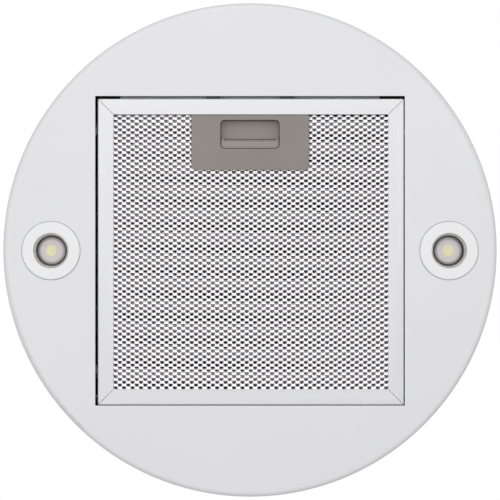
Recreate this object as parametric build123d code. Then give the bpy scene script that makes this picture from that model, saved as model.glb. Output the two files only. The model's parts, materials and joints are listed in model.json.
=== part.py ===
from build123d import *
import os
from math import acos, cos, degrees, pi, radians, sin

# Cylindrical island range hood that hangs from the ceiling on telescopic rails.
# Millimetres. z = 0 is the ceiling, +Z is up, -Y is the side with the buttons and the filter latch.
# Everything that hangs on the lower rails is drawn in hood heights, where 0 is the underside of the
# bottom panel, and is lowered by HEIGHT when it is written out.

# ---- whole hood ----
HEIGHT = 850            # ceiling to underside with the sleeves pushed together
TRAVEL = 200            # how far the hood can be lowered
BODY_R = 195            # outside of the lower sleeve and the bottom panel
SHEET = 1.0             # sleeve sheet
GAP = 0.3               # air between bodies that move past each other
FIT = 0.05              # radial clearance of a screw in its hole or a shaft in its bearing

# ---- screws and bolts ----
SCREW_R = 2             # M4 screws
SCREW_HEAD_R = 3.8
SCREW_HEAD_T = 2.4
SCREW_END = 4           # how far a screw reaches past the sheet it is driven into
BOLT_R = 2.5            # M5 bolts of the rails
BOLT_HEX = 8            # across flats
BOLT_HEAD_T = 3.5
BOLT_NUT_T = 4
BOLT_END = 6            # how far a bolt reaches past the inner sheet

# ---- sleeves ----
UPPER_SLEEVE_R = 192.5
UPPER_SLEEVE_TOP = -3
UPPER_SLEEVE_END = -650
SLEEVE_SCREW_Z = -15
SLEEVE_SCREW_L = 8
SLEEVE_HEAD_T = 1.8     # kept low, because the lower sleeve slides past it
SLEEVE_TAB_HALF = 16    # half width of the curved tabs behind those screws
SLEEVE_TAB_T = 3
SLEEVE_TAB_END = -25
SEAM_HALF = 0.3         # half of the gap in the rolled sheet's butt joint
STRIP_HALF = 12         # half width of the strip behind it
STRIP_ENDS = (15, -30)  # above the sleeve's end, and below the ceiling
LOWER_SLEEVE_FOOT = 14.6
LOWER_SLEEVE_TOP = 450
FLANGE_INNER_R = 182
FLANGE_SCREW_R = 188
FLANGE_SCREWS = 8
FLANGE_START = 22.5     # angle of the first flange screw
GLIDE_H = 10
VENT_TOP = -45
VENT_ROWS = 6
VENT_PITCH = 12
VENT_Y = 34             # middle of each slot, either side of X
VENT_HALF_LENGTH = 28
VENT_HALF_HEIGHT = 2

# ---- ceiling plate and rails ----
PLATE_T = 2.5
PLATE_R = 190
DUCT_HOLE_R = 85
ANCHOR_R = 120          # four ceiling screws on this radius
ANCHOR_HOLE_R = 4.25
CABLE_HOLE_AT = 75      # x and y of the mains cable hole
CABLE_HOLE_R = 8
GROMMET_BORE_R = 5
GROMMET_LIP = 3
GROMMET_LIP_T = 2
RAIL = 25               # flange of a rail's angle section
RAIL_T = 1.5
RAIL_CORNER = 125       # outer faces of the upper rails
RAIL_NEST = RAIL_CORNER - RAIL_T - GAP
UPPER_RAIL_END = -470
LOWER_RAIL_TOP = HEIGHT - 40
RAIL_BOLT_Y = 112
RAIL_BOLT_HEIGHTS = (HEIGHT - 200, HEIGHT - 250)
RAIL_SLOT_HALF = BOLT_R + 0.2
RAIL_FOOT_AT = 109      # x and y of the screw in a lower rail's foot
EAR_DEPTH = 34          # ears of the ceiling plate that the upper rails bolt to
EAR_Y = (101, 120)
EAR_BOLT_Y = 110
EAR_BOLT_Z = (-12, -26)

# ---- bottom panel ----
PANEL_T = 1.2
RIM_R = 4
SKIRT_TOP = 14
OPENING = 244.2
OPENING_Y = 0.6         # the opening sits a little towards the rear
STANDOFFS = (70, 150)
STANDOFF_R = 5
STANDOFF_BORE = 7       # height where its screw hole starts
LED_X = 157
LED_Y = 0.5             # in line with the middle of the opening
LED_HOLE_R = 21.5

# ---- chassis ----
BASE_Z = LOWER_SLEEVE_FOOT + SHEET
BASE_T = 1.5
BASE_R = 193.5
BASE_HOLE = 262
BASE_RIM_TOP = 45
BASE_LED_R = 22
POST_CORNER = (148, 96)
POST = 16
DECK_T = 1.2
DECK_TOP = 360
DECK_R = 187
DECK_RIM = 9
STOP_X = 103            # half length of the strip that the closed cassette backs onto
STOP_EDGE = -112
STOP_WALL = -134
STOP_FOOT = -143
STOP_H = 10.6
STOP_T = 1.0

# ---- filter cassette ----
FILTER = 241.5
FILTER_X = 0.7
FILTER_Y = 1.45
FILTER_LOW = 0.3
FILTER_H = 9.5
FRAME_W = 12.3
FRAME_T = 1.0
FRAME_EDGE = 1.0        # rounding of the frame's visible edges
MITRE_GAP = 0.3
LEFT_EDGE = FILTER_X - FILTER / 2
RIGHT_EDGE = FILTER_X + FILTER / 2
FRONT_EDGE = FILTER_Y - FILTER / 2
MESH_INSET = FRAME_T + 0.3
MESH_FACE_T = 1.3       # foremost layer of expanded metal
MESH_CLEAR = 0.4        # between the mesh and the latch

# ---- pivot of the cassette ----
PIVOT_Y = 115.7         # the cassette turns about this line as its latch side drops
PIVOT_H = 3.2
PIVOT_R = 1.5
PIVOT_INSIDE = 1.2      # how far a pin reaches through the frame's wall
LUG_X = (124.5, 126.5)  # upright lugs of the panel that hold the pins
LUG_HALF = 4
LUG_TOP = 7.5

# ---- latch ----
LATCH_X = (-46.3, 46.5)
LATCH_Y = (-106.7, -63)
LATCH_FACE = 0.8
LATCH_T = 1.8
LATCH_CORNER = 2.5
LATCH_EDGE = 0.5
WINDOW_X = 23.4
WINDOW_Y = (-102.7, -80)
WINDOW_CORNER = 3.4
POCKET_Y = (-102.2, -87.7)
POCKET_X = 22.9
POCKET_ROOF = 10
POCKET_CORNER = 2.9
LATCH_WALL = 1.2
BAR_R = 0.8             # rounded edge that the fingertips pull on
BAR_X = WINDOW_X - WINDOW_CORNER    # stops short of the window's rounded corners
GROOVE = 0.9            # groove round the slider's face, in line with the window
GROOVE_DEEP = 1.1
SLIDER_BACK = 0.5       # behind the cover plate
SLIDER_T = 1.5
SLIDER_Y = (-114, -72)
TONGUE_X = 29
TONGUE_W = 10
TONGUE_TIP = -126
TONGUE_H = (1.8, 4.0)
TONGUE_LEAD = 1         # bevel that lets the tongue snap in
LATCH_TRAVEL = 5.5
TONGUE_ROOT = LATCH_Y[0] - GAP - LATCH_TRAVEL
HOUSING_X = 38
HOUSING_TOP = 13.2
HOUSING_CORNER = 2
SPRING_X = 12
SPRING_H = 7.6
SPRING_R = 2
WIRE_R = 0.35
COILS = 8

# ---- blower ----
AXIS_Y = 72.5
AXIS_H = 245
SCROLL_START_R = 80
SCROLL_END_R = 125
SCROLL_STEPS = 24
OUTLET_HALF = 52.5
VOLUTE_HALF = 75
VOLUTE_T = 2.5
INLET_R = 62
RING_T = 2
RING_LIP = 6
RING_REACH = 5          # stops this far from the drum
RING_ROUND = 1.2
WHEEL_R = 75
WHEEL_HALF = 55
BLADES = 30
BLADE = (13.5, 1.2)
BLADE_AT_R = 68
BLADE_ANGLE = 35
HOOP_W = 12
HOOP_T = 3
HUB_DISC_HALF = 1
HUB_R = 12
HUB_HALF = 8
HUB_HOLES = 6
HUB_HOLE_R = 9
HUB_HOLE_AT_R = 38
SHAFT_R = 4
SHAFT_END = -14
SHAFT_IN_MOTOR = 22
MOTOR_R = 44
MOTOR_X = (15, 95)
MOTOR_EDGE = 4
NOSE_R = 10
NOSE = 5
CAP_BOSS_R = 12
CAP_BOSS = 4
ARM_T = 3
ARM_HALF = 6
ARM_FOOT = 72
ARM_END = 82
ARM_ANGLES = (60, 180, 300)
BAND_T = 4
BAND_W = 8
CAPACITOR_R = 15
CAPACITOR_H = 52
CAPACITOR_AT = (-112, 40)

# ---- outlet ----
COLLAR_R = 74.5
COLLAR_T = 2
COLLAR_TOP = DECK_TOP + 62
COLLAR_FLANGE_R = 88
COLLAR_FLANGE_T = 1.5
LEDGE = 3               # ring inside the collar that the closed flaps lie on
LEDGE_NOTCH = 6         # half width of the notch that clears the knuckles
FLAP_H = DECK_TOP + 40
FLAP_R = 71.5
FLAP_T = 1.0
PIN_R = 2
KNUCKLE_R = 3.8
KNUCKLES = 5
KNUCKLE_PITCH = 28      # one knuckle of a flap, with its share of the gap

# ---- LED spots ----
BEZEL_R = 23
BEZEL_HOLE_R = 14
BEZEL_DROP = 1.0
BEZEL_BEVEL = 0.8
BEZEL_EDGE_H = -0.35    # height where the bevel meets the rim
BEZEL_NECK_R = 21.2
CAN_R = 19.5
CAN_COLLAR_R = 24
CAN_COLLAR_T = 2
CAN_BODY_H = 10
CAN_TOP = 30
FINS = 5
FIN_PITCH = 3.6
FIN_GAP = 2
FIN_DEEP = 4
CONE_R = 12.4
LENS_SEAT_R = 11.4
LENS_H = (3.6, 5.2)
LENS_R = 12.2
CHIP_BOARD_R = 11.2
CHIP_BOARD_H = (7.2, 8.4)
CHIP_R = 4.35
CHIP_LOW = 6.3

# ---- buttons ----
BUTTONS = ("power", "speed_1", "speed_2", "speed_3", "light")
MIDDLE_BUTTON = 2
BUTTON_R = 6
BUTTON_H = 70
BUTTON_ANGLE = degrees(24 / BODY_R)
BUTTON_FACE_R = 198.4
BUTTON_EDGE = 0.8
BUTTON_PRESS = 1.8
BUTTON_FLANGE_R = 7
BUTTON_FLANGE = (0.6, 2)    # how far inside the sleeve the flange starts and ends
DISH_R = 30
DISH_DEEP = 0.4
STEM_R = 2.5
SLOT_HALF = (58, 8)     # half width and half height of the cut-out behind the bezel
BEZEL_HALF = (64, 12)
BEZEL_OUT = 1.5
BOARD_R = 181.6
BOARD_T = 1.6
BOARD_HALF = (62, 16)
SWITCH_HALF = 3
SWITCH_T = 4.4
PILLAR_R = 2.5
PILLAR_TURN = 12
PILLAR_INSET = 4

# ---- control box on the motor deck ----
BOX_X = 60
BOX_Y = (105, 165)
BOX_T = 1.5
BOX_H = 38
BOX_CORNER = 2
GLAND_R = 7
GLAND_BORE_R = 3.5
GLAND_Y = 135
GLAND_H = DECK_TOP + 20
GLAND_INSIDE = 6
GLAND_HEX = 19
GLAND_HEX_T = 5
GLAND_CAP_R = 8
GLAND_CAP_END = 14
GLAND_BEVEL = 2
BOARD_X = (-52, 12)
BOARD_Y = (110, 160)
BOARD_LIFT = 6
BOARD_PILLAR_INSET = 4
RELAY = 12
RELAYS_X = (-46, -30, -14)
RELAY_Y = 142
RELAY_TOP = 23
TRANSFORMER_X = (-44, -16)
TRANSFORMER_Y = (114, 136)
TRANSFORMER_TOP = 30
TERMINAL_X = (22, 46)
TERMINAL_Y = (116, 152)
TERMINAL_H = 17
TERMINALS = 3
TERMINAL_PITCH = 12
TERMINAL_HOLE_R = 3
TERMINAL_HOLE_DEEP = 7


def block(x0, x1, y0, y1, z0, z1):
    """Rectangular block between two opposite corners."""
    centre = Pos((x0 + x1) / 2, (y0 + y1) / 2, (z0 + z1) / 2)
    return centre * Box(x1 - x0, y1 - y0, z1 - z0)


def rod(radius, z0, z1, x=0, y=0):
    """Upright cylinder."""
    return Pos(x, y, (z0 + z1) / 2) * Cylinder(radius, z1 - z0)


def rod_x(radius, x0, x1, y, z):
    """Cylinder along X."""
    return Pos((x0 + x1) / 2, y, z) * Rot(0, 90, 0) * Cylinder(radius, x1 - x0)


def rod_y(radius, y0, y1, x, z):
    """Cylinder along Y."""
    return Pos(x, (y0 + y1) / 2, z) * Rot(90, 0, 0) * Cylinder(radius, y1 - y0)


def hex_x(x0, x1, y, z, across=BOLT_HEX):
    """Hexagonal head or nut along X."""
    head = extrude(RegularPolygon(across / 2, 6, major_radius=False), x1 - x0)
    return Pos(x0, y, z) * Rot(0, 90, 0) * head


def tube(outer, inner, z0, z1, x=0, y=0):
    """Upright tube."""
    return rod(outer, z0, z1, x, y) - rod(inner, z0, z1, x, y)


def turned(profile, x=0, y=0):
    """Solid turned about an upright axis, from (radius, height) points."""
    outline = Polyline(*profile, close=True)
    face = make_face(Plane.XZ * outline)
    return Pos(x, y, 0) * revolve(face, Axis.Z)


def four_corners(solid):
    """A solid drawn in the +X +Y corner, and its mirror images in the other corners."""
    pair = [solid, mirror(solid, about=Plane.XZ)]
    return pair + [mirror(s, about=Plane.YZ) for s in pair]


def around(solid, count, start=0):
    """Copies of a solid turned about Z at even steps."""
    return [Rot(0, 0, start + i * 360 / count) * solid for i in range(count)]


def group(solids):
    """Separate solids kept as one node."""
    return Compound([piece for s in solids for piece in s.solids()])


def angle_section(corner, z0, z1):
    """Rail section in the +X +Y corner, with its outer faces at x = y = corner."""
    low, inside = corner - RAIL, corner - RAIL_T
    return block(low, corner, low, corner, z0, z1) - block(low, inside, low, inside, z0, z1)


# ---- fixed to the ceiling ----

def ceiling_plate():
    """Round plate with the duct hole, ears for the rails and tabs for the upper sleeve."""
    plate = rod(PLATE_R, -PLATE_T, 0) - rod(DUCT_HOLE_R, -PLATE_T, 0)
    plate -= rod(CABLE_HOLE_R, -PLATE_T, 0, CABLE_HOLE_AT, CABLE_HOLE_AT)
    for hole in around(rod(ANCHOR_HOLE_R, -PLATE_T, 0, ANCHOR_R), 4):
        plate -= hole
    ear_x = RAIL_CORNER - RAIL_T
    ear = block(ear_x - PLATE_T, ear_x, *EAR_Y, -EAR_DEPTH, 0)
    for z in EAR_BOLT_Z:
        ear -= rod_x(BOLT_R + FIT, ear_x - PLATE_T, ear_x, EAR_BOLT_Y, z)
    for piece in four_corners(ear):
        plate += piece
    inner = UPPER_SLEEVE_R - SHEET
    sector = block(inner / 2, 2 * inner, -SLEEVE_TAB_HALF, SLEEVE_TAB_HALF, SLEEVE_TAB_END, 0)
    tab = tube(inner, inner - SLEEVE_TAB_T, SLEEVE_TAB_END, 0) & sector
    tab -= rod_x(SCREW_R + FIT, inner / 2, 2 * inner, 0, SLEEVE_SCREW_Z)
    for piece in around(tab, 4, 45):
        plate += piece
    return plate


def cable_grommet():
    """Rubber ring that guards the mains cable in the ceiling plate."""
    at = CABLE_HOLE_AT
    low = -PLATE_T - GROMMET_LIP_T
    ring = rod(CABLE_HOLE_R + GROMMET_LIP, low, -PLATE_T, at, at) + rod(CABLE_HOLE_R, -PLATE_T, 0, at, at)
    return ring - rod(GROMMET_BORE_R, low, 0, at, at)


def upper_rails():
    """Four angle rails with the slots that the clamping bolts slide in."""
    rail = angle_section(RAIL_CORNER, UPPER_RAIL_END, -PLATE_T)
    slot_low = RAIL_BOLT_HEIGHTS[1] - HEIGHT - TRAVEL - 1
    slot_high = RAIL_BOLT_HEIGHTS[0] - HEIGHT + 1
    x0, x1 = RAIL_CORNER - RAIL_T, RAIL_CORNER
    rail -= block(x0, x1, RAIL_BOLT_Y - RAIL_SLOT_HALF, RAIL_BOLT_Y + RAIL_SLOT_HALF, slot_low, slot_high)
    for z in (slot_low, slot_high):
        rail -= rod_x(RAIL_SLOT_HALF, x0, x1, RAIL_BOLT_Y, z)
    for z in EAR_BOLT_Z:
        rail -= rod_x(BOLT_R + FIT, x0, x1, EAR_BOLT_Y, z)
    return group(four_corners(rail))


def bolt_x(inner, outer, y, z):
    """Bolt through two sheets, with its head outside and its nut inside."""
    bolt = rod_x(BOLT_R, inner - BOLT_END, outer, y, z)
    bolt += hex_x(outer, outer + BOLT_HEAD_T, y, z)
    return bolt + hex_x(inner - BOLT_NUT_T, inner, y, z)


def ceiling_rail_bolts():
    """Eight bolts that hold the upper rails to the plate's ears."""
    inner = RAIL_CORNER - RAIL_T - PLATE_T
    return group([b for z in EAR_BOLT_Z for b in four_corners(bolt_x(inner, RAIL_CORNER, EAR_BOLT_Y, z))])


def upper_sleeve():
    """Rolled sheet sleeve that stays at the ceiling."""
    r = UPPER_SLEEVE_R
    inner = r - SHEET
    sleeve = tube(r, inner, UPPER_SLEEVE_END, UPPER_SLEEVE_TOP)
    # warm-air slots on both sides, for use without a duct
    for row in range(VENT_ROWS):
        z = VENT_TOP - row * VENT_PITCH
        for y in (-VENT_Y, VENT_Y):
            y0, y1 = y - VENT_HALF_LENGTH, y + VENT_HALF_LENGTH
            sleeve -= block(-r, r, y0, y1, z - VENT_HALF_HEIGHT, z + VENT_HALF_HEIGHT)
    # butt joint of the rolled sheet at the rear, backed by a strip inside
    sleeve -= block(-SEAM_HALF, SEAM_HALF, inner / 2, 2 * r, UPPER_SLEEVE_END, UPPER_SLEEVE_TOP)
    low, high = UPPER_SLEEVE_END + STRIP_ENDS[0], STRIP_ENDS[1]
    strip = tube(inner, inner - SHEET, low, high)
    sleeve += strip & block(-STRIP_HALF, STRIP_HALF, inner / 2, 2 * r, low, high)
    for hole in around(rod_x(SCREW_R + FIT, inner / 2, 2 * r, 0, SLEEVE_SCREW_Z), 4, 45):
        sleeve -= hole
    return sleeve


def upper_sleeve_screws():
    """Four domed screws that hold the upper sleeve to the ceiling plate."""
    r = UPPER_SLEEVE_R
    shank = rod_x(SCREW_R, r - SLEEVE_SCREW_L, r + FIT, 0, SLEEVE_SCREW_Z)
    head = rod_x(SCREW_HEAD_R, r + FIT, r + FIT + SLEEVE_HEAD_T, 0, SLEEVE_SCREW_Z)
    head = fillet(head.edges().group_by(Axis.X)[-1], SLEEVE_HEAD_T / 2)
    return group(around(shank + head, 4, 45))


# ---- lower sleeve and chassis ----

def lower_sleeve():
    """Sleeve that slides over the upper one, with a flange that is screwed to the chassis."""
    r = BODY_R
    sleeve = tube(r, r - SHEET, LOWER_SLEEVE_FOOT, LOWER_SLEEVE_TOP)
    sleeve += tube(r, FLANGE_INNER_R, LOWER_SLEEVE_FOOT, BASE_Z)
    hole = rod(SCREW_R + FIT, LOWER_SLEEVE_FOOT, BASE_Z, FLANGE_SCREW_R)
    for cut in around(hole, FLANGE_SCREWS, FLANGE_START):
        sleeve -= cut
    half_w, half_h = SLOT_HALF
    return sleeve - block(-half_w, half_w, -2 * r, -r / 2, BUTTON_H - half_h, BUTTON_H + half_h)


def sleeve_glide_ring():
    """Felt ring between the sleeves."""
    top = LOWER_SLEEVE_TOP
    return tube(BODY_R - SHEET, UPPER_SLEEVE_R + GAP, top - GLIDE_H, top)


def bottom_panel():
    """Round panel with its skirt, the square opening, standoffs and the lugs of the cassette's pivot."""
    r, t = BODY_R, PANEL_T
    disc = rod(r, 0, SKIRT_TOP)
    disc = fillet(disc.edges().group_by(Axis.Z)[0], RIM_R)
    hollow = rod(r - t, t, SKIRT_TOP)
    hollow = fillet(hollow.edges().group_by(Axis.Z)[0], RIM_R - t)
    panel = disc - hollow
    half = OPENING / 2
    panel -= block(-half, half, OPENING_Y - half, OPENING_Y + half, 0, t)
    for x in (-LED_X, LED_X):
        panel -= rod(LED_HOLE_R, 0, t, x, LED_Y)
    x, y = STANDOFFS
    standoff = rod(STANDOFF_R, t, BASE_Z, x, y) - rod(SCREW_R + FIT, STANDOFF_BORE, BASE_Z, x, y)
    for piece in four_corners(standoff):
        panel += piece
    lug = block(*LUG_X, PIVOT_Y - LUG_HALF, PIVOT_Y + LUG_HALF, t, LUG_TOP)
    lug = fillet(lug.edges().filter_by(Axis.X).group_by(Axis.Z)[-1], LUG_HALF / 2)
    lug -= rod_x(PIVOT_R + FIT, *LUG_X, PIVOT_Y, PIVOT_H)
    return panel + lug + mirror(lug, about=Plane.YZ)


def chassis_frame():
    """Base ring with four angle posts that carry the motor deck."""
    top = BASE_Z + BASE_T
    half = BASE_HOLE / 2
    base = rod(BASE_R, BASE_Z, top) - block(-half, half, -half, half, BASE_Z, top)
    for x in (-LED_X, LED_X):
        base -= rod(BASE_LED_R, BASE_Z, top, x, LED_Y)
    base += tube(BASE_R, BASE_R - BASE_T, top, BASE_RIM_TOP)
    flange_holes = around(rod(SCREW_R + FIT, BASE_Z, top, FLANGE_SCREW_R), FLANGE_SCREWS, FLANGE_START)
    for hole in flange_holes + four_corners(rod(SCREW_R + FIT, BASE_Z, top, *STANDOFFS)):
        base -= hole
    x, y = POST_CORNER
    deck_low = DECK_TOP - DECK_T
    post = block(x - POST, x, y - POST, y, top, deck_low)
    post -= block(x - POST, x - BASE_T, y - POST, y - BASE_T, top + BASE_T, deck_low - BASE_T)
    post -= rod(SCREW_R + FIT, deck_low - BASE_T, deck_low, x - POST / 2, y - POST / 2)
    for piece in four_corners(post):
        base += piece
    return base


def filter_stop_rail():
    """Pressed strip above the latch side that the closed cassette backs onto."""
    t = STOP_T
    ledge = block(-STOP_X, STOP_X, STOP_WALL, STOP_EDGE, STOP_H, STOP_H + t)
    wall = block(-STOP_X, STOP_X, STOP_WALL - t, STOP_WALL, STOP_H, BASE_Z)
    flange = block(-STOP_X, STOP_X, STOP_FOOT, STOP_WALL, BASE_Z - t, BASE_Z)
    return ledge + wall + flange


def motor_deck():
    """Round deck above the blower with a turned-down rim."""
    low = DECK_TOP - DECK_T
    deck = rod(DECK_R, low, DECK_TOP) + tube(DECK_R, DECK_R - DECK_T, low - DECK_RIM, low)
    inner = VOLUTE_HALF - VOLUTE_T
    deck -= block(-inner, inner, -OUTLET_HALF, OUTLET_HALF, low, DECK_TOP)
    x, y = POST_CORNER
    post_hole = rod(SCREW_R + FIT, low, DECK_TOP, x - POST / 2, y - POST / 2)
    rail_hole = rod(SCREW_R + FIT, low, DECK_TOP, RAIL_FOOT_AT, RAIL_FOOT_AT)
    for hole in four_corners(post_hole) + four_corners(rail_hole):
        deck -= hole
    return deck


def lower_rails():
    """Four angle rails that stand on the motor deck and nest in the upper ones."""
    foot_top = DECK_TOP + RAIL_T
    rail = angle_section(RAIL_NEST, DECK_TOP, LOWER_RAIL_TOP)
    low, high = RAIL_NEST - RAIL, RAIL_NEST
    rail += block(low, high, low, high, DECK_TOP, foot_top)
    rail -= rod(SCREW_R + FIT, DECK_TOP, foot_top, RAIL_FOOT_AT, RAIL_FOOT_AT)
    for h in RAIL_BOLT_HEIGHTS:
        rail -= rod_x(BOLT_R + FIT, high - RAIL_T, high, RAIL_BOLT_Y, h)
    return group(four_corners(rail))


def rail_bolts():
    """Eight bolts that clamp the nested rails at the chosen height."""
    inner, outer = RAIL_NEST - RAIL_T, RAIL_CORNER + GAP
    return group([b for h in RAIL_BOLT_HEIGHTS for b in four_corners(bolt_x(inner, outer, RAIL_BOLT_Y, h))])


def screw(seat, tip, x, y=0):
    """Upright screw from the height of its head's seat to its tip, driven from above or below."""
    head_end = seat + SCREW_HEAD_T if seat > tip else seat - SCREW_HEAD_T
    shank = rod(SCREW_R, min(seat, tip), max(seat, tip), x, y)
    return shank + rod(SCREW_HEAD_R, min(seat, head_end), max(seat, head_end), x, y)


def case_screws():
    """Screws of the sleeve flange, the bottom panel, the motor deck and the lower rails."""
    base_top, foot_top = BASE_Z + BASE_T, DECK_TOP + RAIL_T
    flange = screw(LOWER_SLEEVE_FOOT, base_top + SCREW_END, FLANGE_SCREW_R)
    panel = screw(base_top, STANDOFF_BORE + 1, *STANDOFFS)
    x, y = POST_CORNER
    post = screw(DECK_TOP, DECK_TOP - DECK_T - BASE_T - SCREW_END, x - POST / 2, y - POST / 2)
    rail = screw(foot_top, DECK_TOP - DECK_T - SCREW_END, RAIL_FOOT_AT, RAIL_FOOT_AT)
    corners = four_corners(panel) + four_corners(post) + four_corners(rail)
    return group(around(flange, FLANGE_SCREWS, FLANGE_START) + corners)


# ---- blower ----

def scroll_face(wall):
    """Spiral air channel with its straight outlet, seen along X, grown outwards by a wall."""
    start = acos(-(AXIS_Y - OUTLET_HALF) / SCROLL_START_R)
    first = acos((OUTLET_HALF + wall - AXIS_Y) / (SCROLL_START_R + wall))
    points = []
    for i in range(SCROLL_STEPS + 1):
        turn = first - (first + pi) * i / SCROLL_STEPS
        grown = (start - turn) / (start + pi)
        r = SCROLL_START_R + (SCROLL_END_R - SCROLL_START_R) * grown + wall
        points.append((AXIS_Y + r * cos(turn), AXIS_H + r * sin(turn)))
    points[0] = (OUTLET_HALF + wall, points[0][1])
    top = DECK_TOP - DECK_T
    spiral = Spline(*points)
    outlet = Polyline(points[-1], (points[-1][0], top), (points[0][0], top), points[0])
    return make_face(Plane.YZ * (Curve() + [spiral, outlet]))


def volute_shell(side):
    """Half of the blower housing: side plate with the air inlet, and its half of the scroll."""
    inner = VOLUTE_HALF - VOLUTE_T
    outline = scroll_face(VOLUTE_T)
    outwards = (side, 0, 0)
    wall = extrude(outline - scroll_face(0), inner, dir=outwards)
    plate = Pos(side * inner, 0, 0) * extrude(outline, VOLUTE_T, dir=outwards)
    x0, x1 = sorted((side * inner, side * VOLUTE_HALF))
    plate -= rod_x(INLET_R, x0, x1, AXIS_Y, AXIS_H)
    return wall + plate


def inlet_ring(side):
    """Bell mouth that leads air into the drum."""
    face = side * (VOLUTE_HALF + RING_T)
    x0, x1 = sorted((side * (WHEEL_HALF + RING_REACH), face))
    f0, f1 = sorted((side * VOLUTE_HALF, face))
    neck = INLET_R - 0.5
    lip = rod_x(neck, x0, x1, AXIS_Y, AXIS_H) + rod_x(INLET_R + RING_LIP, f0, f1, AXIS_Y, AXIS_H)
    ring = lip - rod_x(neck - RING_T, x0, x1, AXIS_Y, AXIS_H)
    circles = ring.edges().filter_by(GeomType.CIRCLE).sort_by(SortBy.RADIUS)
    mouth = [e for e in circles if abs(e.center().X - face) < FIT]
    return fillet(mouth[0], RING_ROUND)


def impeller():
    """Drum wheel with forward-curved blades on both sides of a hub disc."""
    blades = Sketch()
    for i in range(BLADES):
        blades += Rot(0, 0, i * 360 / BLADES) * Pos(BLADE_AT_R, 0) * Rot(0, 0, BLADE_ANGLE) * Rectangle(*BLADE)
    centre = Pos(0, AXIS_Y, AXIS_H) * Rot(0, 90, 0)
    wheel = centre * extrude(blades, WHEEL_HALF, both=True)
    wheel += rod_x(WHEEL_R, -HUB_DISC_HALF, HUB_DISC_HALF, AXIS_Y, AXIS_H)
    for x0 in (-WHEEL_HALF, WHEEL_HALF - HOOP_T):
        x1 = x0 + HOOP_T
        wheel += rod_x(WHEEL_R, x0, x1, AXIS_Y, AXIS_H) - rod_x(WHEEL_R - HOOP_W, x0, x1, AXIS_Y, AXIS_H)
    wheel += rod_x(HUB_R, -HUB_HALF, HUB_HALF, AXIS_Y, AXIS_H)
    for hole in range(HUB_HOLES):
        turn = radians(360 / HUB_HOLES * hole)
        y, z = AXIS_Y + HUB_HOLE_AT_R * cos(turn), AXIS_H + HUB_HOLE_AT_R * sin(turn)
        wheel -= rod_x(HUB_HOLE_R, -HUB_DISC_HALF, HUB_DISC_HALF, y, z)
    return wheel - rod_x(SHAFT_R, -HUB_HALF, HUB_HALF, AXIS_Y, AXIS_H)


def motor_shaft():
    """Shaft pressed into the drum's hub, running in the motor."""
    shaft = rod_x(SHAFT_R, SHAFT_END, MOTOR_X[0] + SHAFT_IN_MOTOR, AXIS_Y, AXIS_H)
    return chamfer(shaft.edges().group_by(Axis.X)[0], SHAFT_R / 5)


def motor_can():
    """Motor housing with a bearing nose towards the drum and a boss at its far end."""
    x0, x1 = MOTOR_X
    can = rod_x(MOTOR_R, x0, x1, AXIS_Y, AXIS_H)
    can = fillet(can.edges().filter_by(GeomType.CIRCLE), MOTOR_EDGE)
    can += rod_x(NOSE_R, x0 - NOSE, x0 + 1, AXIS_Y, AXIS_H)
    can += rod_x(CAP_BOSS_R, x1 - 1, x1 + CAP_BOSS, AXIS_Y, AXIS_H)
    return can - rod_x(SHAFT_R + FIT, x0 - NOSE, x0 + SHAFT_IN_MOTOR + 1, AXIS_Y, AXIS_H)


def motor_bracket():
    """Three-armed spider from the housing's side plate to a band round the motor."""
    x0 = VOLUTE_HALF + ARM_T
    band = rod_x(MOTOR_R + BAND_T, x0, x0 + BAND_W, AXIS_Y, AXIS_H)
    arm = block(x0, x0 + ARM_T, -ARM_HALF, ARM_HALF, 0, ARM_END)
    arm += block(VOLUTE_HALF, x0, -ARM_HALF, ARM_HALF, ARM_FOOT, ARM_END)
    for turn in ARM_ANGLES:
        band += Pos(0, AXIS_Y, AXIS_H) * Rot(turn, 0, 0) * arm
    return band - rod_x(MOTOR_R, x0, x0 + BAND_W, AXIS_Y, AXIS_H)


def capacitor():
    """Motor capacitor standing on the deck."""
    can = rod(CAPACITOR_R, DECK_TOP, DECK_TOP + CAPACITOR_H, *CAPACITOR_AT)
    return fillet(can.edges().group_by(Axis.Z)[-1], CAPACITOR_R / 6)


# ---- outlet ----

def outlet_collar():
    """Duct spigot with its flange on the deck and a ledge for the closed flaps."""
    inner = COLLAR_R - COLLAR_T
    collar = tube(COLLAR_R, inner, DECK_TOP, COLLAR_TOP)
    collar += tube(COLLAR_FLANGE_R, inner, DECK_TOP, DECK_TOP + COLLAR_FLANGE_T)
    low = FLAP_H - KNUCKLE_R - LEDGE
    ledge = tube(inner, inner - LEDGE, low, FLAP_H - FLAP_T / 2 - GAP)
    collar += ledge - block(-LEDGE_NOTCH, LEDGE_NOTCH, -inner, inner, low, FLAP_H)
    return collar - rod_y(PIN_R + FIT, -COLLAR_R, COLLAR_R, 0, FLAP_H)


def flap_pin():
    """Pin across the collar that both flaps hinge on."""
    return rod_y(PIN_R, -COLLAR_R, COLLAR_R, 0, FLAP_H)


def flap(side, first_knuckle):
    """Half-round flap on the side given by its sign, with every second knuckle of the hinge."""
    half = FLAP_T / 2
    clear = KNUCKLE_R + GAP + 0.1
    x0, x1 = sorted((side * clear, side * FLAP_R))
    leaf = rod(FLAP_R, FLAP_H - half, FLAP_H + half)
    leaf &= block(x0, x1, -FLAP_R, FLAP_R, FLAP_H - half, FLAP_H + half)
    w0, w1 = sorted((side * (PIN_R + 0.5), side * (clear + 1)))
    start = (GAP - KNUCKLES * KNUCKLE_PITCH) / 2
    for i in range(first_knuckle, KNUCKLES, 2):
        y0 = start + i * KNUCKLE_PITCH
        y1 = y0 + KNUCKLE_PITCH - GAP
        leaf += rod_y(KNUCKLE_R, y0, y1, 0, FLAP_H)
        leaf += block(w0, w1, y0, y1, FLAP_H - half, FLAP_H + half)
    return leaf - rod_y(PIN_R + FIT, -FLAP_R, FLAP_R, 0, FLAP_H)


# ---- control box ----

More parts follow.
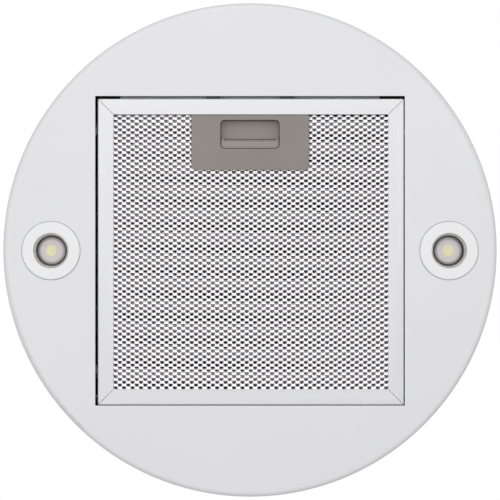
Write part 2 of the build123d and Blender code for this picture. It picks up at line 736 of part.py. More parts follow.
def control_box():
    """Tray for the electronics, with the gland's hole in its side."""
    y0, y1 = BOX_Y
    t, top = BOX_T, DECK_TOP + BOX_H
    box = block(-BOX_X, BOX_X, y0, y1, DECK_TOP, top)
    box -= block(-BOX_X + t, BOX_X - t, y0 + t, y1 - t, DECK_TOP + t, top)
    return box - rod_x(GLAND_R + FIT, BOX_X - t, BOX_X, GLAND_Y, GLAND_H)


def control_box_lid():
    """Flat lid with rounded corners."""
    top = DECK_TOP + BOX_H
    lid = block(-BOX_X, BOX_X, *BOX_Y, top, top + BOX_T)
    return fillet(lid.edges().filter_by(Axis.Z), BOX_CORNER)


def cable_gland():
    """Hollow screwed gland that grips the mains cable in the control box wall."""
    x0, x1 = BOX_X - GLAND_INSIDE, BOX_X + GLAND_CAP_END
    shoulder = BOX_X + GLAND_HEX_T
    gland = rod_x(GLAND_R, x0, BOX_X + 1, GLAND_Y, GLAND_H)
    gland += hex_x(BOX_X, shoulder, GLAND_Y, GLAND_H, GLAND_HEX)
    gland += rod_x(GLAND_CAP_R, shoulder, x1, GLAND_Y, GLAND_H)
    gland = chamfer(gland.edges().group_by(Axis.X)[-1], GLAND_BEVEL)
    return gland - rod_x(GLAND_BORE_R, x0, x1, GLAND_Y, GLAND_H)


def control_board():
    """Circuit board on four pillars, with relays and a small transformer."""
    floor = DECK_TOP + BOX_T
    low, high = floor + BOARD_LIFT, floor + BOARD_LIFT + BOARD_T
    board = block(*BOARD_X, *BOARD_Y, low, high)
    for x in (BOARD_X[0] + BOARD_PILLAR_INSET, BOARD_X[1] - BOARD_PILLAR_INSET):
        for y in (BOARD_Y[0] + BOARD_PILLAR_INSET, BOARD_Y[1] - BOARD_PILLAR_INSET):
            board += rod(PILLAR_R, floor, low, x, y)
    for x in RELAYS_X:
        board += block(x, x + RELAY, RELAY_Y, RELAY_Y + RELAY, high, floor + RELAY_TOP)
    return board + block(*TRANSFORMER_X, *TRANSFORMER_Y, high, floor + TRANSFORMER_TOP)


def terminal_block():
    """Three-way screw terminal for the mains."""
    low = DECK_TOP + BOX_T
    top = low + TERMINAL_H
    terminal = block(*TERMINAL_X, *TERMINAL_Y, low, top)
    middle_x = sum(TERMINAL_X) / 2
    for i in range(TERMINALS):
        y = TERMINAL_Y[0] + (i + 0.5) * TERMINAL_PITCH
        terminal -= rod(TERMINAL_HOLE_R, top - TERMINAL_HOLE_DEEP, top, middle_x, y)
    return terminal


# ---- LED spots ----

def led_bezel(x):
    """Painted ring round a spot, dropped a little below the panel."""
    neck, hole = BEZEL_NECK_R, BEZEL_HOLE_R
    face = [(hole, -BEZEL_DROP), (BEZEL_R - BEZEL_BEVEL, -BEZEL_DROP), (BEZEL_R, BEZEL_EDGE_H), (BEZEL_R, 0)]
    return turned(face + [(neck, 0), (neck, PANEL_T), (hole, PANEL_T)], x, LED_Y)


def led_can(x):
    """Finned metal can with the reflector cone that leads to the lens."""
    low = PANEL_T
    collar_top = low + CAN_COLLAR_T
    profile = [(BEZEL_HOLE_R, low), (CAN_COLLAR_R, low), (CAN_COLLAR_R, collar_top), (CAN_R, collar_top)]
    for fin in range(FINS):
        h = CAN_BODY_H + 0.8 + fin * FIN_PITCH
        profile += [(CAN_R, h), (CAN_R - FIN_DEEP, h), (CAN_R - FIN_DEEP, h + FIN_GAP), (CAN_R, h + FIN_GAP)]
    lens_low, lens_high = LENS_H
    board_high = CHIP_BOARD_H[1]
    profile += [(CAN_R, CAN_TOP), (0, CAN_TOP), (0, board_high), (LENS_SEAT_R, board_high)]
    profile += [(LENS_SEAT_R, lens_high), (CONE_R, lens_high), (CONE_R, lens_low)]
    return turned(profile, x, LED_Y)


def led_lens(x):
    """Frosted disc in front of the LED."""
    return rod(LENS_R, *LENS_H, x, LED_Y)


def led_chip(x):
    """Round circuit board with the LED under its phosphor dome."""
    return rod(CHIP_BOARD_R, *CHIP_BOARD_H, x, LED_Y) + rod(CHIP_R, CHIP_LOW, CHIP_BOARD_H[0], x, LED_Y)


# ---- filter cassette ----

def filter_square(size, z0, z1):
    """Square block about the middle of the cassette."""
    half = size / 2
    return block(FILTER_X - half, FILTER_X + half, FILTER_Y - half, FILTER_Y + half, z0, z1)


def filter_rail(turn):
    """One mitred channel of the cassette's frame, open towards the mesh."""
    low, high = FILTER_LOW, FILTER_LOW + FILTER_H
    ring = filter_square(FILTER, low, high)
    ring = fillet(ring.edges().filter_by(Axis.Z, reverse=True).group_by(Axis.Z)[0], FRAME_EDGE)
    ring -= filter_square(FILTER - 2 * FRAME_W, low, high)
    ring -= filter_square(FILTER - 2 * FRAME_T, low + FRAME_T, high - FRAME_T)
    half = FILTER / 2
    inset = MITRE_GAP / 2 * 2 ** 0.5
    wedge = make_face(Polyline((0, -inset), (half, -half - inset), (-half, -half - inset), close=True))
    prism = Pos(FILTER_X, FILTER_Y, low) * Rot(0, 0, turn) * extrude(wedge, FILTER_H)
    return ring & prism


def filter_rail_front():
    """Latch-side rail with the slots that the tongues come through."""
    rail = filter_rail(0)
    low, high = TONGUE_H
    half = TONGUE_W / 2 + GAP
    for x in (-TONGUE_X, TONGUE_X):
        rail -= block(x - half, x + half, FRONT_EDGE, FRONT_EDGE + FRAME_T, low - GAP, high + GAP)
    return rail


def filter_rail_side(turn):
    """Side rail with the hole that its pivot pin is riveted in."""
    return filter_rail(turn) - rod_x(PIVOT_R, LEFT_EDGE, RIGHT_EDGE, PIVOT_Y, PIVOT_H)


def pivot_pins():
    """Two pins in line at the rear corners, from the frame into the panel's lugs."""
    end = LUG_X[1]
    left = rod_x(PIVOT_R, -end, LEFT_EDGE + PIVOT_INSIDE, PIVOT_Y, PIVOT_H)
    right = rod_x(PIVOT_R, RIGHT_EDGE - PIVOT_INSIDE, end, PIVOT_Y, PIVOT_H)
    return group([left, right])


def mesh_layer(z0, z1, notch_x0, notch_x1):
    """Slab that holds the place of the expanded-metal layers, notched round the latch."""
    slab = filter_square(FILTER - 2 * MESH_INSET, z0, z1)
    return slab - block(notch_x0, notch_x1, FRONT_EDGE, LATCH_Y[1] + MESH_CLEAR, z0, z1)


def filter_mesh_face():
    """Foremost layer, notched round the cover plate of the latch."""
    low = FILTER_LOW + FRAME_T + FIT
    return mesh_layer(low, low + MESH_FACE_T, LATCH_X[0] - MESH_CLEAR, LATCH_X[1] + MESH_CLEAR)


def filter_mesh_core():
    """Layers behind it, notched round the latch housing."""
    low = FILTER_LOW + FRAME_T + FIT + MESH_FACE_T
    high = FILTER_LOW + FILTER_H - FRAME_T - FIT
    return mesh_layer(low, high, -HOUSING_X - MESH_CLEAR, HOUSING_X + MESH_CLEAR)


# ---- latch ----

def latch_plate():
    """Cover plate with the window over the finger pocket."""
    low, high = LATCH_FACE, LATCH_FACE + LATCH_T
    plate = block(*LATCH_X, *LATCH_Y, low, high)
    plate = chamfer(plate.edges().filter_by(Axis.Z).group_by(Axis.Y)[-1], LATCH_CORNER)
    plate = fillet(plate.edges().filter_by(Axis.Z, reverse=True).group_by(Axis.Z)[0], LATCH_EDGE)
    window = block(-WINDOW_X, WINDOW_X, *WINDOW_Y, low, high)
    return plate - fillet(window.edges().filter_by(Axis.Z), WINDOW_CORNER)


def latch_housing():
    """Moulded box behind the cover plate, open towards the front rail."""
    y0, y1 = LATCH_Y
    low = LATCH_FACE + LATCH_T
    box = block(-HOUSING_X, HOUSING_X, y0, y1, low, HOUSING_TOP)
    box = fillet(box.edges().filter_by(Axis.Z).group_by(Axis.Y)[-1], HOUSING_CORNER)
    t = LATCH_WALL
    return box - block(-HOUSING_X + t, HOUSING_X - t, y0, y1 - t, low, HOUSING_TOP - t)


def window_outline(grow, z0, z1):
    """Block with the window's rounded outline, grown or shrunk all round."""
    y0, y1 = WINDOW_Y
    outline = block(-WINDOW_X - grow, WINDOW_X + grow, y0 - grow, y1 + grow, z0, z1)
    return fillet(outline.edges().filter_by(Axis.Z), WINDOW_CORNER + grow)


def latch_slider():
    """Slider with a finger pocket behind the window and a groove round what the window shows."""
    low = LATCH_FACE + LATCH_T + SLIDER_BACK
    high = low + SLIDER_T
    t = LATCH_WALL
    edge = TONGUE_X + TONGUE_W / 2
    body = block(-edge, edge, *SLIDER_Y, low, high)
    groove_top = low + GROOVE_DEEP
    body -= window_outline(GAP, low, groove_top) - window_outline(GAP - GROOVE, low, groove_top)
    y0, y1 = POCKET_Y
    body += block(-POCKET_X - t, POCKET_X + t, y0 - t, y1 + t, high, POCKET_ROOF + t)
    hollow = block(-POCKET_X, POCKET_X, y0, y1, low, POCKET_ROOF)
    body -= fillet(hollow.edges().filter_by(Axis.Z), POCKET_CORNER)
    return body + rod_x(BAR_R, -BAR_X, BAR_X, y1 + BAR_R, low)


def latch_tongues():
    """Two bevelled tongues that reach over the panel's edge from the front of the slider."""
    low, high = TONGUE_H
    slider_low = LATCH_FACE + LATCH_T + SLIDER_BACK
    tongues = []
    for x in (-TONGUE_X, TONGUE_X):
        x0, x1 = x - TONGUE_W / 2, x + TONGUE_W / 2
        tongue = block(x0, x1, TONGUE_TIP, SLIDER_Y[0], low, high)
        tongue = chamfer(tongue.edges().filter_by(Axis.X).group_by(Axis.Y)[0].sort_by(Axis.Z)[0], TONGUE_LEAD)
        tongues.append(tongue + block(x0, x1, SLIDER_Y[0], TONGUE_ROOT, low, slider_low))
    return group(tongues)


def latch_springs():
    """Two coils between the pocket's wall and the housing."""
    seat = 0.1
    y0 = POCKET_Y[1] + LATCH_WALL
    y1 = LATCH_Y[1] - LATCH_WALL
    length = y1 - y0 - 2 * (WIRE_R + seat)
    path = Helix(length / COILS, length, SPRING_R)
    section = Plane(path @ 0, z_dir=path % 0) * Circle(WIRE_R)
    coil = sweep(section, path=path, is_frenet=True)
    return group([Pos(x, y0 + WIRE_R + seat, SPRING_H) * Rot(-90, 0, 0) * coil for x in (-SPRING_X, SPRING_X)])


# ---- buttons ----

def at_button(index, solid):
    """Turns a solid drawn at the front to one button's place."""
    return Rot(0, 0, (index - MIDDLE_BUTTON) * BUTTON_ANGLE) * solid


def button_bezel():
    """Curved strip on the sleeve with a hole for each button."""
    r = BODY_R
    half_w, half_h = BEZEL_HALF
    low, high = BUTTON_H - half_h, BUTTON_H + half_h
    strip = tube(r + BEZEL_OUT, r, low, high) & block(-half_w, half_w, -2 * r, -r / 2, low, high)
    for i in range(len(BUTTONS)):
        strip -= at_button(i, rod_y(BUTTON_R + GAP, -2 * r, -r / 2, 0, BUTTON_H))
    return strip


def button_board():
    """Curved board behind the buttons, with five switches, on four pillars."""
    half_w, half_h = BOARD_HALF
    low, high = BUTTON_H - half_h, BUTTON_H + half_h
    r = BOARD_R
    back = BOARD_T / 2 - r
    board = tube(r, r - BOARD_T, low, high) & block(-half_w, half_w, -2 * r, -r / 2, low, high)
    low_edge, high_edge = BUTTON_H - SWITCH_HALF, BUTTON_H + SWITCH_HALF
    switch = block(-SWITCH_HALF, SWITCH_HALF, -r - SWITCH_T, back, low_edge, high_edge)
    for i in range(len(BUTTONS)):
        board += at_button(i, switch)
    for turn in (-PILLAR_TURN, PILLAR_TURN):
        for h in (low + PILLAR_INSET, high - PILLAR_INSET):
            board += Rot(0, 0, turn) * rod_y(PILLAR_R, -BODY_R + SHEET + FIT, back, 0, h)
    return board


def button(index):
    """Push button with a dished cap, a flange that keeps it in, and a stem."""
    flange_front, flange_back = -BODY_R + BUTTON_FLANGE[0], -BODY_R + BUTTON_FLANGE[1]
    cap = rod_y(BUTTON_R, -BUTTON_FACE_R, flange_front, 0, BUTTON_H)
    cap = fillet(cap.edges().filter_by(GeomType.CIRCLE).group_by(Axis.Y)[0], BUTTON_EDGE)
    cap -= Pos(0, -BUTTON_FACE_R - DISH_R + DISH_DEEP, BUTTON_H) * Sphere(DISH_R)
    cap += rod_y(BUTTON_FLANGE_R, flange_front, flange_back, 0, BUTTON_H)
    stem_end = -BOARD_R - SWITCH_T - BUTTON_PRESS - GAP
    cap += rod_y(STEM_R, flange_back, stem_end, 0, BUTTON_H)
    return at_button(index, cap)


ceiling_parts = {
    "ceiling_plate": ceiling_plate(),
    "cable_grommet": cable_grommet(),
    "upper_rails": upper_rails(),
    "ceiling_rail_bolts": ceiling_rail_bolts(),
    "upper_sleeve": upper_sleeve(),
    "upper_sleeve_screws": upper_sleeve_screws(),
}

hood_parts = {
    "lower_sleeve": lower_sleeve(),
    "sleeve_glide_ring": sleeve_glide_ring(),
    "bottom_panel": bottom_panel(),
    "chassis_frame": chassis_frame(),
    "filter_stop_rail": filter_stop_rail(),
    "motor_deck": motor_deck(),
    "lower_rails": lower_rails(),
    "rail_bolts": rail_bolts(),
    "case_screws": case_screws(),
    "impeller": impeller(),
    "motor_shaft": motor_shaft(),
    "motor_can": motor_can(),
    "motor_bracket": motor_bracket(),
    "capacitor": capacitor(),
    "outlet_collar": outlet_collar(),
    "flap_pin": flap_pin(),
    "flap_left": flap(-1, 0),
    "flap_right": flap(1, 1),
    "control_box": control_box(),
    "control_box_lid": control_box_lid(),
    "cable_gland": cable_gland(),
    "control_board": control_board(),
    "terminal_block": terminal_block(),
    "filter_rail_front": filter_rail_front(),
    "filter_rail_right": filter_rail_side(90),
    "filter_rail_rear": filter_rail(180),
    "filter_rail_left": filter_rail_side(270),
    "pivot_pins": pivot_pins(),
    "filter_mesh_face": filter_mesh_face(),
    "filter_mesh_core": filter_mesh_core(),
    "latch_plate": latch_plate(),
    "latch_housing": latch_housing(),
    "latch_slider": latch_slider(),
    "latch_tongues": latch_tongues(),
    "latch_springs": latch_springs(),
    "button_bezel": button_bezel(),
    "button_board": button_board(),
}
for name, side in (("left", -1), ("right", 1)):
    hood_parts["volute_" + name] = volute_shell(side)
    hood_parts["inlet_ring_" + name] = inlet_ring(side)
    hood_parts["led_bezel_" + name] = led_bezel(side * LED_X)
    hood_parts["led_can_" + name] = led_can(side * LED_X)
    hood_parts["led_lens_" + name] = led_lens(side * LED_X)
    hood_parts["led_chip_" + name] = led_chip(side * LED_X)
for index, name in enumerate(BUTTONS):
    hood_parts["button_" + name] = button(index)

os.makedirs("parts", exist_ok=True)
for node, solid in ceiling_parts.items():
    export_step(solid, f"parts/{node}.step")
for node, solid in hood_parts.items():
    export_step(Pos(0, 0, -HEIGHT) * solid, f"parts/{node}.step")
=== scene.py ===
import json
import math

import bpy
import numpy as np
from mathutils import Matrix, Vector

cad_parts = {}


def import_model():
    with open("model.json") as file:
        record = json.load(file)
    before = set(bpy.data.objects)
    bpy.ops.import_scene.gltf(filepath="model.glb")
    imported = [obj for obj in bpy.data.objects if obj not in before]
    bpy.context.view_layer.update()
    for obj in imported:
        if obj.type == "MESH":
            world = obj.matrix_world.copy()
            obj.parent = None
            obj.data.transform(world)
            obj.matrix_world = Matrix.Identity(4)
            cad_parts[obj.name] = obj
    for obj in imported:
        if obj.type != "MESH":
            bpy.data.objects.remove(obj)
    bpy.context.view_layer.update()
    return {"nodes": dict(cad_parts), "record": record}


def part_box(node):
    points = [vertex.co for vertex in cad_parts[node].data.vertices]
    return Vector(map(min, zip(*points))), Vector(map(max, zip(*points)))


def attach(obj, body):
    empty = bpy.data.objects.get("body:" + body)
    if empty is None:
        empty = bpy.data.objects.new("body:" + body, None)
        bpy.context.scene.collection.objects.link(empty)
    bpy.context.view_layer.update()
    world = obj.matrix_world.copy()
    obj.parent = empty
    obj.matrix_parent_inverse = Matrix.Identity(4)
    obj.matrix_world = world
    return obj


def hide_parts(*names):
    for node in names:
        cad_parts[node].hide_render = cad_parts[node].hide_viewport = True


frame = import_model()
nodes = frame["nodes"]

MM = 0.001
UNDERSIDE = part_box("bottom_panel")[0].z     # lowest plane of the painted panel
ROUND_SMOOTH = math.radians(32)             # edges sharper than this stay crisp
SPOT_REACH = 16                             # millimetres round a spot's axis that get colours of their own

# groove and crease in the face of the latch's slider, which get painted shade
GROOVE_RISE = (3.15 * MM, 4.25 * MM)        # above the panel's underside
GROOVE_HALF = 24.5 * MM
CREASE_Y = (-88 * MM, -87 * MM)             # the pocket's side of the bar that the fingertips pull on
CREASE_HALF = 23 * MM

# grease filter
SHEET_WALL = 0.4 * MM
RAIL_COVERS = 3.6 * MM                      # edge strip of each sheet that the rails hide
PLATE_COVERS = 2 * MM                       # strip of the face sheet that the latch's plate hides
HOUSING_CLEAR = (3.4 * MM, 2.4 * MM)        # about half a cell, sideways and lengthways

# spot gaskets, near black so that they also paint the shadow gap round each bezel
GASKET_TUCK = 0.5 * MM                      # under the bezel
GASKET_SHOWS = 0.25 * MM
GASKET_WALL = 0.2 * MM
GASKET_STEPS = 96


# ---- node helpers ----

class Tree:
    """A material's node tree, with coordinates in metres that ride with the piece."""

    def __init__(self, name):
        self.material = bpy.data.materials.new(name)
        self.material.use_nodes = True
        self.nodes = self.material.node_tree.nodes
        self.links = self.material.node_tree.links
        self.shader = self.nodes["Principled BSDF"]
        self.place = self.add("ShaderNodeTexCoord").outputs["Object"]

    def add(self, kind, **settings):
        node = self.nodes.new(kind)
        for key, value in settings.items():
            setattr(node, key, value)
        return node

    def set(self, **values):
        for key, value in values.items():
            self.shader.inputs[key.replace("_", " ")].default_value = value

    def stretched(self, scale):
        """Coordinates squeezed along each axis, for grain that runs one way."""
        mapping = self.add("ShaderNodeMapping")
        mapping.inputs["Scale"].default_value = scale
        self.links.new(self.place, mapping.inputs["Vector"])
        return mapping.outputs["Vector"]

    def noise(self, size, detail=4, rough=0.6, place=None):
        """Noise with features of that size in metres."""
        node = self.add("ShaderNodeTexNoise")
        node.inputs["Scale"].default_value = 1 / size
        node.inputs["Detail"].default_value = detail
        node.inputs["Roughness"].default_value = rough
        self.links.new(place or self.place, node.inputs["Vector"])
        return node.outputs["Fac"]

    def cells(self, size, feature="F1", output="Color"):
        """Voronoi cells of that size in metres."""
        node = self.add("ShaderNodeTexVoronoi", feature=feature)
        node.inputs["Scale"].default_value = 1 / size
        self.links.new(self.place, node.inputs["Vector"])
        return node.outputs[output]

    def ramp(self, value, stops):
        """Colour ramp from (position, grey or colour) stops."""
        node = self.add("ShaderNodeValToRGB")
        elements = node.color_ramp.elements
        while len(elements) < len(stops):
            elements.new(0.5)
        for element, (position, colour) in zip(elements, stops):
            element.position = position
            if isinstance(colour, (int, float)):
                colour = (colour, colour, colour)
            element.color = (*colour, 1)
        self.links.new(value, node.inputs["Fac"])
        return node.outputs["Color"]

    def blend(self, factor, a, b, kind="MIX"):
        node = self.add("ShaderNodeMix", data_type="RGBA", blend_type=kind)
        for socket, value in ((node.inputs[0], factor), (node.inputs[6], a), (node.inputs[7], b)):
            if hasattr(value, "links"):
                self.links.new(value, socket)
            elif isinstance(value, (int, float)):
                socket.default_value = value
            else:
                socket.default_value = (*value, 1)
        return node.outputs[2]

    def colour(self, value):
        self.links.new(value, self.shader.inputs["Base Color"])

    def roughness(self, value, low, high):
        node = self.add("ShaderNodeMapRange")
        node.inputs["To Min"].default_value = low
        node.inputs["To Max"].default_value = high
        self.links.new(value, node.inputs["Value"])
        self.links.new(node.outputs["Result"], self.shader.inputs["Roughness"])

    def bump(self, *layers):
        """Relief from (height value, depth in metres) layers."""
        last = None
        for value, depth in layers:
            node = self.add("ShaderNodeBump")
            node.inputs["Strength"].default_value = 1
            node.inputs["Distance"].default_value = depth
            self.links.new(value, node.inputs["Height"])
            if last:
                self.links.new(last, node.inputs["Normal"])
            last = node.outputs["Normal"]
        self.links.new(last, self.shader.inputs["Normal"])


def tinted(tree, colour, spread, size):
    """A colour that drifts slightly from place to place."""
    low = tuple(c * (1 - spread) for c in colour)
    high = tuple(min(1, c * (1 + spread)) for c in colour)
    return tree.ramp(tree.noise(size, 3), [(0.3, low), (0.7, high)])


# ---- materials ----

def powder_coat(name, colour):
    """Satin powder coat: fine orange peel over sheet that isn't quite flat."""
    tree = Tree(name)
    tree.set(Metallic=0.0, Coat_Weight=0.25, Coat_Roughness=0.18, IOR=1.5)
    tree.colour(tinted(tree, colour, 0.012, 0.09))
    tree.roughness(tree.noise(0.004, 3), 0.34, 0.44)
    tree.bump((tree.noise(0.16, 1), 0.00022), (tree.noise(0.0014, 2, 0.5), 0.000012))
    return tree.material


def galvanised(name, shade=1.0):
    """Hot-dip zinc with its frosty spangle."""
    tree = Tree(name)
    spangle = tree.cells(0.007)
    grey = tree.ramp(spangle, [(0.1, (0.44 * shade, 0.445 * shade, 0.45 * shade)),
                               (0.9, (0.64 * shade, 0.645 * shade, 0.65 * shade))])
    tree.set(Metallic=0.85)
    weathered = tinted(tree, (0.54 * shade, 0.545 * shade, 0.555 * shade), 0.12, 0.05)
    tree.colour(tree.blend(0.35, grey, weathered))
    tree.roughness(spangle, 0.34, 0.56)
    tree.bump((tree.noise(0.0009, 3), 0.00001), (tree.noise(0.05, 2), 0.0002))
    return tree.material


def zinc_hardware():
    """Zinc-plated steel of screws, bolts and the shaft."""
    tree = Tree("zinc_hardware")
    tree.set(Metallic=1.0)
    tree.colour(tinted(tree, (0.70, 0.70, 0.66), 0.08, 0.002))
    tree.roughness(tree.noise(0.0012, 4), 0.24, 0.42)
    tree.bump((tree.noise(0.0004, 3), 0.000008))
    return tree.material


def satin_aluminium(name, along):
    """Anodised strip with faint drawing lines along its length."""
    tree = Tree(name)
    scale = [1.0, 1.0, 1.0]
    scale[along] = 0.02
    lines = tree.noise(0.0004, 3, 0.7, tree.stretched(scale))
    tree.set(Metallic=0.5, Anisotropic=0.3)
    tree.colour(tree.ramp(lines, [(0.3, (0.73, 0.73, 0.745)), (0.7, (0.78, 0.78, 0.795))]))
    tree.roughness(lines, 0.44, 0.54)
    tree.bump((lines, 0.000004), (tree.noise(0.04, 1), 0.00008))
    return tree.material


def bright_mesh(name, value):
    """Bright slit-and-stretched aluminium, slightly scuffed on its high points."""
    tree = Tree(name)
    tree.set(Metallic=0.7)
    tree.colour(tree.ramp(tree.noise(0.004, 3), [(0.35, (value, value * 0.97, value * 0.95)),
                                                 (0.65, (value * 0.96, value * 0.96, value))]))
    tree.roughness(tree.noise(0.0008, 3), 0.26, 0.42)
    tree.bump((tree.noise(0.0005, 3), 0.00002))
    return tree.material


def moulded(name, colour, rough, grain=0.0007, depth=0.00001, coat=0.0):
    """Moulded plastic with a fine eroded grain and faint flow marks."""
    tree = Tree(name)
    tree.set(Metallic=0.0, IOR=1.49, Coat_Weight=coat, Coat_Roughness=0.12)
    tree.colour(tinted(tree, colour, 0.04, 0.03))
    tree.roughness(tree.noise(0.012, 3), rough - 0.05, rough + 0.05)
    tree.bump((tree.noise(grain, 2, 0.5), depth), (tree.noise(0.03, 1), 0.00004))
    return tree.material


def around_spot(tree, stops):
    """Colours by distance from a spot's axis, from (millimetres, colour) stops, alike for both spots."""
    low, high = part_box("led_chip_right")
    middle = (low + high) / 2
    place = tree.place
    for operation, value in (("SUBTRACT", (0, middle.y, 0)), ("ABSOLUTE", None), ("MULTIPLY", (1, 1, 0))):
        node = tree.add("ShaderNodeVectorMath", operation=operation)
        tree.links.new(place, node.inputs[0])
        if value:
            node.inputs[1].default_value = value
        place = node.outputs["Vector"]
    away = tree.add("ShaderNodeVectorMath", operation="DISTANCE")
    away.inputs[1].default_value = (middle.x, 0, 0)
    tree.links.new(place, away.inputs[0])
    reach = tree.add("ShaderNodeMapRange")
    reach.inputs["From Max"].default_value = SPOT_REACH * MM
    tree.links.new(away.outputs["Value"], reach.inputs["Value"])
    return tree.ramp(reach.outputs["Result"], [(mm / SPOT_REACH, colour) for mm, colour in stops])


def turned_metal():
    """Turned aluminium with fine rings, blackened by painted shade where the lens sits."""
    tree = Tree("led_metal")
    rings = tree.noise(0.0003, 2, 0.5, tree.stretched((0.05, 0.05, 1.0)))
    # painted shade: near black within 12.1 mm of the spot's axis, full colour from 12.5 mm out
    painted_ring_shade = around_spot(tree, [(12.1, 0.03), (12.5, 1.0)])
    tree.set(Metallic=0.7)
    tree.colour(tree.blend(1.0, painted_ring_shade, tree.ramp(rings, [(0.3, 0.66), (0.7, 0.80)]), "MULTIPLY"))
    tree.roughness(rings, 0.22, 0.36)
    tree.bump((rings, 0.000006))
    return tree.material


def frosted_lens():
    """Finely frosted lens, mostly see-through so that the chip behind it stays bright."""
    tree = Tree("led_lens")
    tree.set(Transmission_Weight=1.0, IOR=1.45, Alpha=0.3)
    tree.colour(tinted(tree, (0.98, 0.96, 0.96), 0.01, 0.004))
    tree.roughness(tree.noise(0.0006, 2), 0.10, 0.16)
    tree.bump((tree.noise(0.0008, 2), 0.00001))
    return tree.material


def phosphor():
    """Yellow phosphor in the middle of a white dish, with painted shade that darkens it towards its edge.
    """
    tree = Tree("led_phosphor")
    yellow, white, shaded = (0.92, 0.89, 0.55), (0.84, 0.79, 0.79), (0.78, 0.73, 0.73)
    dusky, black = (0.42, 0.39, 0.39), (0.06, 0.055, 0.055)
    # painted shade: the dish runs from white through grey to near black at its rim
    dish = around_spot(tree, [(4.2, yellow), (4.7, white), (8.3, shaded), (9.9, dusky), (11.2, black)])
    tree.set(IOR=1.4)
    tree.colour(tree.blend(1.0, dish, tinted(tree, (0.97, 0.97, 0.97), 0.03, 0.001), "MULTIPLY"))
    tree.roughness(tree.noise(0.0006, 2), 0.35, 0.5)
    tree.bump((tree.noise(0.0003, 2), 0.00001))
    return tree.material


def circuit_board():
    """Green solder mask with a lattice of copper tracks under it."""
    tree = Tree("circuit_board")
    tracks = tree.cells(0.0035, "DISTANCE_TO_EDGE", "Distance")
    mask = tree.ramp(tracks, [(0.03, (0.10, 0.34, 0.13)), (0.06, (0.03, 0.17, 0.07))])
    tree.set(Coat_Weight=0.4, Coat_Roughness=0.1)
    tree.colour(mask)
    tree.roughness(tree.noise(0.003, 2), 0.3, 0.42)
    tree.bump((tracks, 0.00002))
    return tree.material


def spring_steel():
    """Bright drawn wire."""
    tree = Tree("spring_steel")
    tree.set(Metallic=1.0)
    tree.colour(tinted(tree, (0.62, 0.62, 0.63), 0.06, 0.001))
    tree.roughness(tree.noise(0.0005, 2), 0.2, 0.32)
    tree.bump((tree.noise(0.0003, 2), 0.000004))
    return tree.material


materials = {
    "white_coat": powder_coat("white_coat", (0.80, 0.80, 0.81)),
    "white_screw": powder_coat("white_screw", (0.76, 0.76, 0.77)),
    "galvanised": galvanised("galvanised"),
    "zinc_hardware": zinc_hardware(),
    "frame_aluminium": satin_aluminium("frame_aluminium", 0),
    "mesh_aluminium": bright_mesh("mesh_aluminium", 0.93),
    "latch_plastic": moulded("latch_plastic", (0.262, 0.236, 0.212), 0.42),
    # lighter than the plate's plastic; part of that is painted light that offsets the shade deep in the
    # finger pocket
    "slider_plastic": moulded("slider_plastic", (0.325, 0.294, 0.264), 0.45),
    "housing_plastic": moulded("housing_plastic", (0.045, 0.045, 0.047), 0.5),
    # black nylon, dark enough to also stand as painted shade where the tongues cross the gap
    "tongue_nylon": moulded("tongue_nylon", (0.03, 0.03, 0.03), 0.5),
    "pivot_steel": moulded("pivot_steel", (0.03, 0.03, 0.032), 0.4),
    "spring_steel": spring_steel(),
    "blower_plastic": moulded("blower_plastic", (0.018, 0.018, 0.02), 0.5, 0.0012, 0.00003),
    "wheel_plastic": moulded("wheel_plastic", (0.03, 0.03, 0.033), 0.45),
    "shaft_steel": zinc_hardware(),
    "motor_paint": moulded("motor_paint", (0.05, 0.05, 0.055), 0.35, 0.0016, 0.00002, 0.2),
    "flap_plastic": moulded("flap_plastic", (0.10, 0.10, 0.11), 0.5),
    "capacitor_can": moulded("capacitor_can", (0.66, 0.66, 0.64), 0.35),
    "gland_nylon": moulded("gland_nylon", (0.03, 0.03, 0.03), 0.45),
    "grommet_rubber": moulded("grommet_rubber", (0.02, 0.02, 0.02), 0.7, 0.0005, 0.00002),
    "glide_felt": moulded("glide_felt", (0.25, 0.25, 0.25), 0.9, 0.0004, 0.0001),
    "circuit_board": circuit_board(),
    "terminal_plastic": moulded("terminal_plastic", (0.70, 0.70, 0.66), 0.4),
    "led_metal": turned_metal(),
    "led_lens": frosted_lens(),
    "led_phosphor": phosphor(),
    "bezel_plastic": moulded("bezel_plastic", (0.60, 0.60, 0.61), 0.38),
    "button_plastic": moulded("button_plastic", (0.42, 0.42, 0.43), 0.25, coat=0.4),
}
drawn_across = satin_aluminium("frame_aluminium_across", 1)
bezel_coat = powder_coat("bezel_coat", (0.88, 0.88, 0.885))
# the stop rail's zinc at 0.7 of the usual lightness: painted shade for the strip seen deep in the gap
shaded_zinc = galvanised("shaded_zinc", 0.7)
# near-black colour of the painted shade in the slider's groove and crease
groove_shade = moulded("groove_shade", (0.05, 0.045, 0.04), 0.6)

for entry in frame["record"]["subparts"]:
    piece = nodes[entry["node"]]
    piece.data.materials.clear()
    piece.data.materials.append(materials[entry["material_slot"]])
for side in ("left", "right"):
    nodes["filter_rail_" + side].data.materials[0] = drawn_across
    nodes["led_bezel_" + side].data.materials[0] = bezel_coat
nodes["filter_stop_rail"].data.materials[0] = shaded_zinc


def shade_groove():
    """Paints shade into the groove round the finger pocket and its lip, and into the crease under the
    pulled edge.
    """
    slider = nodes["latch_slider"]
    slider.data.materials.append(groove_shade)
    low, high = (UNDERSIDE + rise for rise in GROOVE_RISE)
    for face in slider.data.polygons:
        centre = slider.matrix_world @ face.center
        in_groove = low < centre.z < high and abs(centre.x) < GROOVE_HALF
        in_crease = centre.z < high and CREASE_Y[0] < centre.y < CREASE_Y[1] and abs(centre.x) < CREASE_HALF
        if in_groove or in_crease:
            face.material_index = 1


shade_groove()


# ---- expanded metal of the grease filter ----

